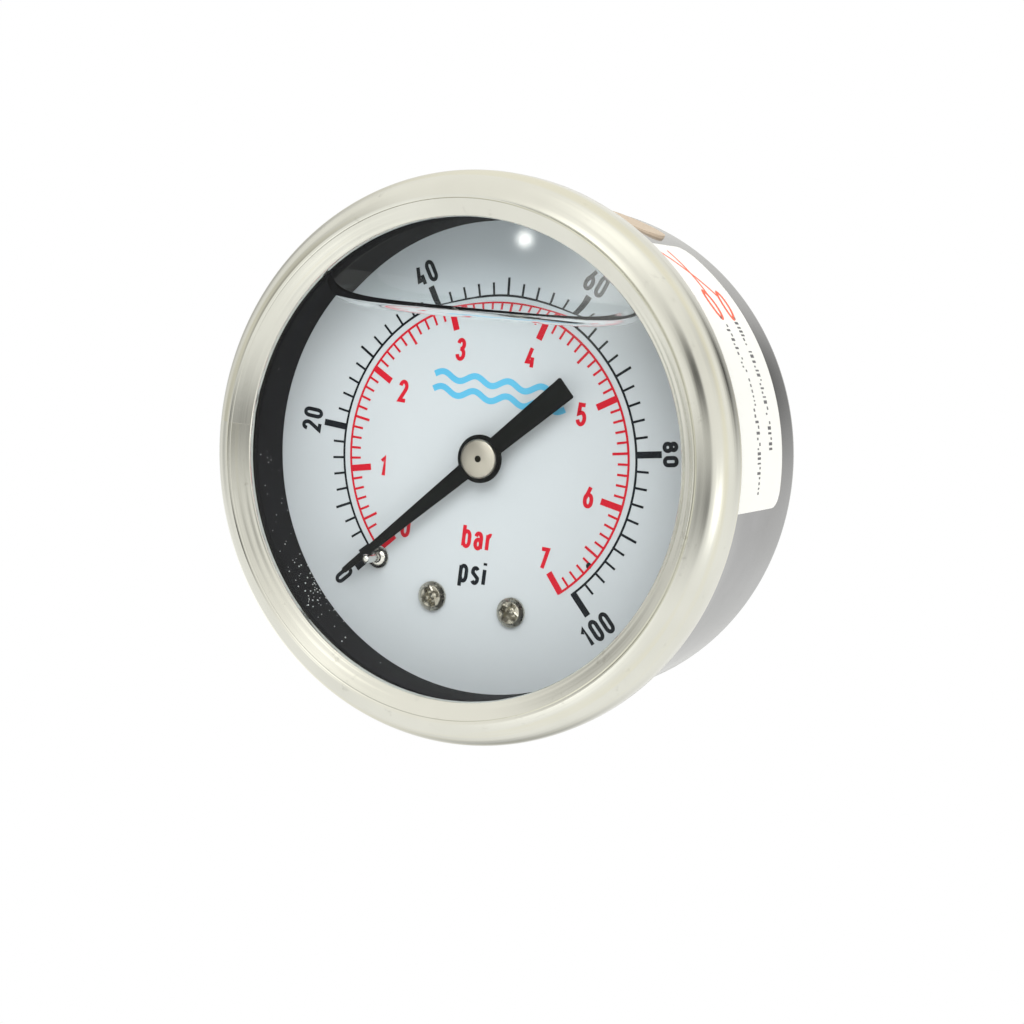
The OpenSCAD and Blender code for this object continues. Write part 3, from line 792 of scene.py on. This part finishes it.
def stop():
    """The pin that the pointer rests on, with its riveted collar."""
    pin_r = max(math.hypot(x - pin_x, y - pin_y) for x, y, z in gauge_points("stop_pin")
                if abs(z - pin_top) < 0.01)
    collar_r = 1.24
    low = span("stop_pin", "z")[0]
    outline = [(0, pin_top), (pin_r * 0.6, pin_top - 0.03), (pin_r * 0.9, pin_top - 0.12),
               (pin_r, pin_top - 0.28), (pin_r, dial_face + 0.85), (pin_r + 0.12, dial_face + 0.74),
               (collar_r * 0.62, dial_face + 0.72), (collar_r * 0.85, dial_face + 0.6),
               (collar_r, dial_face + 0.34), (collar_r, dial_face), (pin_r, dial_face), (pin_r, low),
               (0, low)]
    pin = lathe("stop_pin_turned", outline, pin_steel, segments=64, at=(pin_x, pin_y))
    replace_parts(pin, "stop_pin")


def recessed_head(x0, y0, z0, head_r, head_h, turn, up=1):
    """A domed screw head with a crossed recess, as a fine height field with a flat underside."""
    rings, segments = 42, 144
    edge = rings - 2                    # the last ring of the dome; two more make the head's side
    chamfer, centre = 0.74, 0.3         # parts of the radius where the chamfer starts, the recess rises
    verts = []
    turn = math.radians(turn)
    arm_len, arm_wide, depth = head_r * 0.68, head_r * 0.2, head_h * 0.5
    for i in range(rings + 1):
        r = head_r * min(1.0, i / edge)
        part = r / head_r
        for k in range(segments):
            a = TAU * k / segments
            px, py = r * math.cos(a), r * math.sin(a)
            dome = head_h * (0.98 - 0.1 * part ** 2 - 0.4 * max(0.0, (part - chamfer) / (1 - chamfer)))
            u = abs(px * math.cos(turn) + py * math.sin(turn))
            v = abs(py * math.cos(turn) - px * math.sin(turn))
            long, short = max(u, v), min(u, v)
            side = arm_wide * (1.5 - 0.6 * long / arm_len) - short
            slope = min((arm_len - long) / (head_r * 0.3), side / (head_r * 0.13))
            floor = 1 - 0.5 * max(0.0, 1 - part / centre)
            dome -= depth * max(0.0, min(1.0, slope)) * floor
            dome += head_h * 0.04 * math.exp(-(slope / 0.5) ** 2)      # the burr round the recess
            z = dome if i <= edge else (head_h * 0.25 if i == edge + 1 else 0.0)
            verts.append((x0 + px, y0 + up * py, z0 + up * z))
    faces = ring_faces(rings + 1, segments)
    faces.append([rings * segments + k for k in range(segments)])
    return verts, faces


def shank(x0, y0, z0, z1, r):
    return lathe_mesh([(0, z0), (r, z0), (r, z1), (0, z1)], 32, (x0, y0))


def screws():
    """The dial's two screws and the case's two screws."""

    def pair(name, parts, node):
        verts, faces = join_parts(parts)
        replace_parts(make(name, verts, faces, screw_steel), node)

    low = span("dial_screws", "z")[0]
    parts = []
    for x, turn in zip(screw_xs, (28, 64)):
        parts.append(recessed_head(x, screw_y, dial_face, screw_head_r, 0.95, turn))
        parts.append(shank(x, screw_y, low, dial_face, 0.8))
    pair("dial_screw_pair", parts, "dial_screws")

    head_r = (span("case_screws", "y")[1] - span("case_screws", "y")[0]) / 2
    left, right = span("case_screws", "x")
    head_back, inner = span("case_screws", "z")
    parts = []
    for x, turn in ((left + head_r, 15), (right - head_r, 51)):
        parts.append(recessed_head(x, 0, 0, head_r, -head_back, turn, -1))
        parts.append(shank(x, 0, 0, inner, 1.25))
    pair("case_screw_pair", parts, "case_screws")


# ---------------- label
def label():
    """A sticker with rounded corners on the case's side, with plain marks in place of wording."""
    first, last = -3.0, 62.0
    corner = 1.6

    def on_case(along, height, lift):
        a = math.radians(first) + along / case_r
        r = case_r + lift
        return (r * math.cos(a), r * math.sin(a), height)

    length = math.radians(last - first) * case_r
    thick = label_r - case_r
    verts, faces = [], []
    edge = [corner * (1 - math.cos(math.radians(k * 15))) for k in range(7)]
    heights = [label_back + e for e in edge] + [label_front - e for e in reversed(edge)]
    rows, cols = len(heights) - 1, 64
    for lift in (0.01, thick):
        for height in heights:
            near = min(height - label_back, label_front - height)
            inside = corner - min(near, corner)
            pull = corner - math.sqrt(max(0.0, corner ** 2 - inside ** 2))
            for k in range(cols + 1):
                along = pull + (length - 2 * pull) * k / cols
                verts.append(on_case(along, height, lift))
    layer = (rows + 1) * (cols + 1)
    for i in range(rows):
        for k in range(cols):
            low, high = i * (cols + 1) + k, (i + 1) * (cols + 1) + k
            quad = [low, low + 1, high + 1, high]
            faces += [quad[::-1], [layer + n for n in quad]]
    rim = list(range(cols + 1)) + [(i + 1) * (cols + 1) - 1 for i in range(1, rows + 1)]
    rim += [rows * (cols + 1) + k for k in range(cols - 1, -1, -1)]
    rim += [i * (cols + 1) for i in range(rows - 1, 0, -1)]
    for n, here in enumerate(rim):
        there = rim[(n + 1) % len(rim)]
        faces.append([here, there, layer + there, layer + here])
    sticker = make("side_label", verts, faces, label_white, smooth=40)
    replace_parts(sticker, "case_label")

    def printed(name, parts, ink):
        """Flat print, given in lengths along and across the sticker, laid on its curved face."""
        verts, faces = join_parts(parts)
        verts = [on_case(u, v, thick + (0.014 if top > 0.5 else 0.002)) for u, v, top in verts]
        make(name, verts, faces, ink, smooth=20)

    draw = random.Random(5)
    parts = []
    for height, start, end in ((label_back + 3.0, 0.665, 0.2), (label_back + 6.4, 0.665, 0.06)):
        along = length * start
        while along > length * end:
            dash = draw.uniform(0.14, 0.34)
            low, high = draw.choice(((0, 0.9), (0, 0.9), (0, 0.35), (0.5, 0.9)))
            middle = along - dash / 2
            parts.append(ribbon([(middle, height + low), (middle, height + high)], dash, 0, 1))
            along -= dash + (0.65 if draw.random() < 0.13 else draw.uniform(0.2, 0.3))
    printed("label_marks", parts, ink_grey)

    # A plain pair of scissors in red: two loops for the fingers and two blades that cross.
    loop_at, root, tip = length * 0.713, length * 0.745, length * 0.962
    middle = label_back + 5.2
    parts = []
    for side in (1, -1):
        loop = [(loop_at + 1.55 * math.cos(t) - side * 0.35 * math.sin(t),
                 middle + side * 1.75 + side * 0.3 * math.cos(t) + 0.62 * math.sin(t))
                for t in (TAU * k / 28 for k in range(28))]
        parts.append(ribbon(loop, 0.5, 0, 1, True))
        blade = [(root + (tip - root) * t, middle + side * 1.35 * (1 - 2.1 * t) + 2.6 * t)
                 for t in (k / 24 for k in range(25))]
        parts.append(ribbon(blade, 0.36, 0, 1))
    printed("label_sign", parts, ink_sign)


# ---------------- socket with its real thread
def thread_radius(turn, z, crest, start):
    """Radius of the Whitworth-form thread at an angle and height: round crests and roots."""
    pitch, depth = 25.4 / 19, 0.856
    phase = ((z - start) / pitch - turn / TAU) % 1.0
    wave = 1 - abs(2 * phase - 1)
    wave = min(max((wave - 0.14) / 0.72, 0.0), 1.0)
    wave = wave * wave * (3 - 2 * wave) * 0.35 + wave * 0.65
    return crest - depth * (1 - wave)


def socket():
    """The brass body as the CAD has it down to its square, and a stem with a helical thread."""
    shoulder, crest = -8.0, 6.5785      # where the stem meets the square, and the thread's outer radius
    mesh = nodes["socket"].data.copy()
    bm = bmesh.new()
    bm.from_mesh(mesh)
    bmesh.ops.remove_doubles(bm, verts=bm.verts, dist=1e-7)
    cut = bmesh.ops.bisect_plane(bm, geom=bm.verts[:] + bm.edges[:] + bm.faces[:], dist=1e-8,
                                 plane_co=point(0, 0, shoulder + 0.002), plane_no=(0, 1, 0),
                                 clear_outer=True)
    rim = [e for e in cut["geom_cut"] if isinstance(e, bmesh.types.BMEdge)]
    bmesh.ops.triangle_fill(bm, edges=rim, use_beauty=True)
    bm.to_mesh(mesh)
    bm.free()
    body = finish_mesh("socket_body", mesh, stem_brass, "gauge_body", 30)
    spigot_end = span("restrictor_screw", "z")[0] - 0.4
    stem_end = spigot_end + 2.0
    relief_end = shoulder - 1.8
    bore, neck = 1.6, crest - 1.0
    segments, steps = 160, 110
    profile = [[(r, z)] * segments for r, z in ((bore, shoulder), (neck, shoulder), (neck, relief_end))]
    for i in range(steps + 1):
        z = relief_end + (stem_end - relief_end) * i / steps
        taper_in = max(neck + (z - stem_end), crest - 0.95)
        taper_out = max(neck + (relief_end - z) * 1.2, crest - 0.95)
        row = (thread_radius(TAU * k / segments, z, crest, relief_end) for k in range(segments))
        profile.append([(min(r, taper_in, taper_out), z) for r in row])
    for r, z in ((4.9, stem_end), (2.6, stem_end), (2.5, stem_end - 0.1), (2.5, spigot_end + 0.25),
                 (2.25, spigot_end), (1.75, spigot_end), (bore, spigot_end + 0.15), (bore, shoulder)):
        profile.append([(r, z)] * segments)
    verts = []
    for row in profile:
        for k, (r, z) in enumerate(row):
            a = TAU * k / segments
            verts.append((r * math.cos(a), r * math.sin(a), z))
    faces = ring_faces(len(profile), segments)
    make("stem_thread", verts, faces, stem_brass, smooth=32)
    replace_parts(body, "socket")


# ---------------- bubbles on the dark wall
def bubbles():
    """Tiny bubbles that cling to the wall of the gasket, most of them low on the left."""
    draw = random.Random(11)
    ball = bmesh.new()
    bmesh.ops.create_icosphere(ball, subdivisions=2, radius=1.0)
    points, faces = [tuple(v.co) for v in ball.verts], [[v.index for v in f.verts] for f in ball.faces]
    ball.free()
    deep = window_bottom - dial_face - 0.9
    parts = []
    for k in range(90):
        angle = math.radians(draw.gauss(223, 5) if k < 60 else draw.gauss(205, 22))
        size = draw.uniform(0.035, 0.085) * (1 if k < 60 else 0.6)
        height = dial_face + 0.4 + deep * draw.random() ** (1.7 if k < 60 else 1)
        r = wall_r - size * 0.7
        x, y = r * math.cos(angle), r * math.sin(angle)
        parts.append(([(x + v[0] * size, y + v[1] * size, height + v[2] * size) for v in points], faces))
    verts, faces = join_parts(parts)
    make("wall_bubbles", verts, faces, bubble_glint, smooth=180)


# ---------------- the CAD pieces that stay
KEPT = {
    movement_brass: ("tube_tip", "link", "sector_gear", "bottom_plate", "top_plate", "pillars",
                     "hairspring_collet", "hairspring_stud", "restrictor_screw"),
    stem_brass: ("passage_plug",),
    tube_bronze: ("bourdon_tube",),
    spring_bronze: ("hairspring",),
    pin_steel: ("tip_pin", "sector_pin", "sector_arbor", "pinion_arbor"),
    screw_steel: ("plate_screws", "movement_screws"),
    black_rubber: ("socket_o_ring",),
    amber_rubber: ("filler_plug",),
}


def finish_kept():
    for material, names in KEPT.items():
        for name in names:
            paint(nodes[name].data, material)


def bending_tube():
    """The Bourdon tube as a copy of the CAD's mesh, in bronze, in place of the CAD's own."""
    tube = link("bourdon_tube_bent", nodes["bourdon_tube"].data.copy())
    paint(tube.data, tube_bronze)
    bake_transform(tube)
    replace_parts(tube, "bourdon_tube")


# ---------------- stage
# The room that the steel mirrors: azimuth, elevation, half width in degrees and brightness added.
ROOM = ((26, -6, 12, -0.52),            # the dark camera
        (46, 26, 14, -0.80),            # someone dark beside it
        (50, -6, 13, -0.66),
        (98, 37, 15, -0.20),
        (-68, 11, 17, -0.52),           # dim walls on the left
        (-92, -7, 10, -0.35),
        (-124, 9, 18, -0.46),
        (160, 16, 14, -0.85),           # and behind
        (-162, -50, 18, -0.48),
        (-133, -20, 8, 0.50),
        (85, -7, 9, 0.90),              # a window on the right
        (-6, 36, 10, 0.60),             # lamps above
        (14, 62, 10, 0.28),
        (60, 78, 15, 0.40),
        (0, -38, 14, 0.34),             # the bright table below
        (-27, -2, 13, -0.66),           # the dim wall that the window mirrors
        (-26.15, 0.25, 0.22, 15),       # a small bright lamp in it
        (-23.6, -0.8, 1.5, 3.4))        # and its dimmer surround


def direction(azimuth, elevation):
    """A unit vector from azimuth and elevation, in degrees."""
    a, e = math.radians(azimuth), math.radians(elevation)
    return Vector((math.sin(a) * math.cos(e), -math.cos(a) * math.cos(e), math.sin(e)))


def stage():
    """A pale floor well below the gauge, a bright surround and soft lamps."""
    size, height = 4.0, -0.08
    mesh = bpy.data.meshes.new("floor")
    mesh.from_pydata([(x * size, y * size, height) for x, y in ((-1, -1), (1, -1), (1, 1), (-1, 1))],
                     [], [[0, 1, 2, 3]])
    floor = link("floor", mesh)
    s = material_nodes("floor_pale")
    grain = s.noise(40, 3)
    shade = s.mix(s.ramp(grain, 0.3, 0.7), rgb(0.93, 0.93, 0.925), rgb(0.9, 0.9, 0.9))
    lit = s.add("BsdfDiffuse", {"Color": shade}).outputs[0]
    glow = s.add("Emission", {"Color": rgb(1, 1, 1)}).outputs[0]
    seen = s.add("LightPath").outputs["Is Camera Ray"]
    paint(mesh, s.finish(s.add("MixShader", {0: seen, 1: lit, 2: glow}).outputs[0]))
    floor.visible_glossy = False

    s = Shader(bpy.data.worlds.new("surround"), "OutputWorld")
    look = s.add("TexCoord").outputs["Generated"]

    def lobe(azimuth, elevation, width):
        """A soft spot of light, one at its middle, seen at an azimuth and elevation."""
        aim = direction(azimuth, elevation)
        near = s.add("VectorMath", {0: look, 1: aim}, operation="DOT_PRODUCT").outputs["Value"]
        spread = 1 - math.cos(math.radians(width))
        return s.math("EXPONENT", s.math("DIVIDE", s.math("SUBTRACT", near, 1.0), spread))

    level = 0.90
    for azimuth, elevation, width, gain in ROOM:
        level = s.math("MULTIPLY_ADD", lobe(azimuth, elevation, width), gain, level)
    z = s.add("SeparateXYZ", {0: look}).outputs[2]
    warm = s.mix(s.ramp(z, -0.3, 0.5), rgb(1.0, 1.0, 0.97), rgb(1.0, 0.99, 0.94))
    shade = s.add("VectorMath", {0: warm, 3: s.math("MAXIMUM", level, 0.05)}, operation="SCALE").outputs[0]
    direct = s.add("LightPath").outputs["Is Camera Ray"]
    seen = s.add("Background", {"Color": rgb(1, 1, 1)}).outputs[0]
    mirrored = s.add("Background", {"Color": shade}).outputs[0]
    bpy.context.scene.world = s.finish(s.add("MixShader", {0: direct, 1: mirrored, 2: seen}).outputs[0])

    def lamp(name, place, aim, size, power, tint=(1, 1, 1)):
        data = bpy.data.lights.new(name, "AREA")
        data.shape = "RECTANGLE"
        data.size, data.size_y = size
        data.energy = power
        data.color = tint
        made = link(name, data)
        made.location = place
        made.rotation_euler = (Vector(aim) - Vector(place)).to_track_quat("-Z", "Y").to_euler()
        made.visible_glossy = False

    lamp("key", (0.2, -0.95, 0.6), (0, -0.04, 0), (0.8, 0.6), 7.0, (1.0, 0.985, 0.96))
    lamp("fill", (0.9, -0.5, 0.25), (0, -0.04, 0), (0.5, 0.9), 2.4)


def camera():
    """Seen from the right of the dial and a little above, with the picture turned slightly."""
    roll, distance = math.radians(7.16), 201.7
    back = direction(25.55, 7.51)
    level = Vector((0, 0, 1)).cross(back).normalized()
    upright = back.cross(level)
    right = level * math.cos(roll) + upright * math.sin(roll)
    up = upright * math.cos(roll) - level * math.sin(roll)
    aim = point(0, 0, dial_face) + (right * 1.1 - up * 5.55) * MM       # where the picture's middle lies
    data = bpy.data.cameras.new("camera")
    data.sensor_width = 36
    data.lens = 70.3
    data.clip_start = 0.01
    made = link("camera", data)
    made.location = aim + back * distance * MM
    made.rotation_mode = "QUATERNION"
    made.rotation_quaternion = Matrix((right, up, back)).transposed().to_quaternion()
    bpy.context.scene.camera = made


bezel()
case_shell()
gasket()
window_disc()
liquid()
dial_plate()
black_print()
red_print()
blue_print()
pointer_blade()
hub_cap()
stop()
screws()
label()
socket()
bubbles()
finish_kept()
bending_tube()
stage()
camera()
bpy.context.scene.view_settings.view_transform = "Standard"
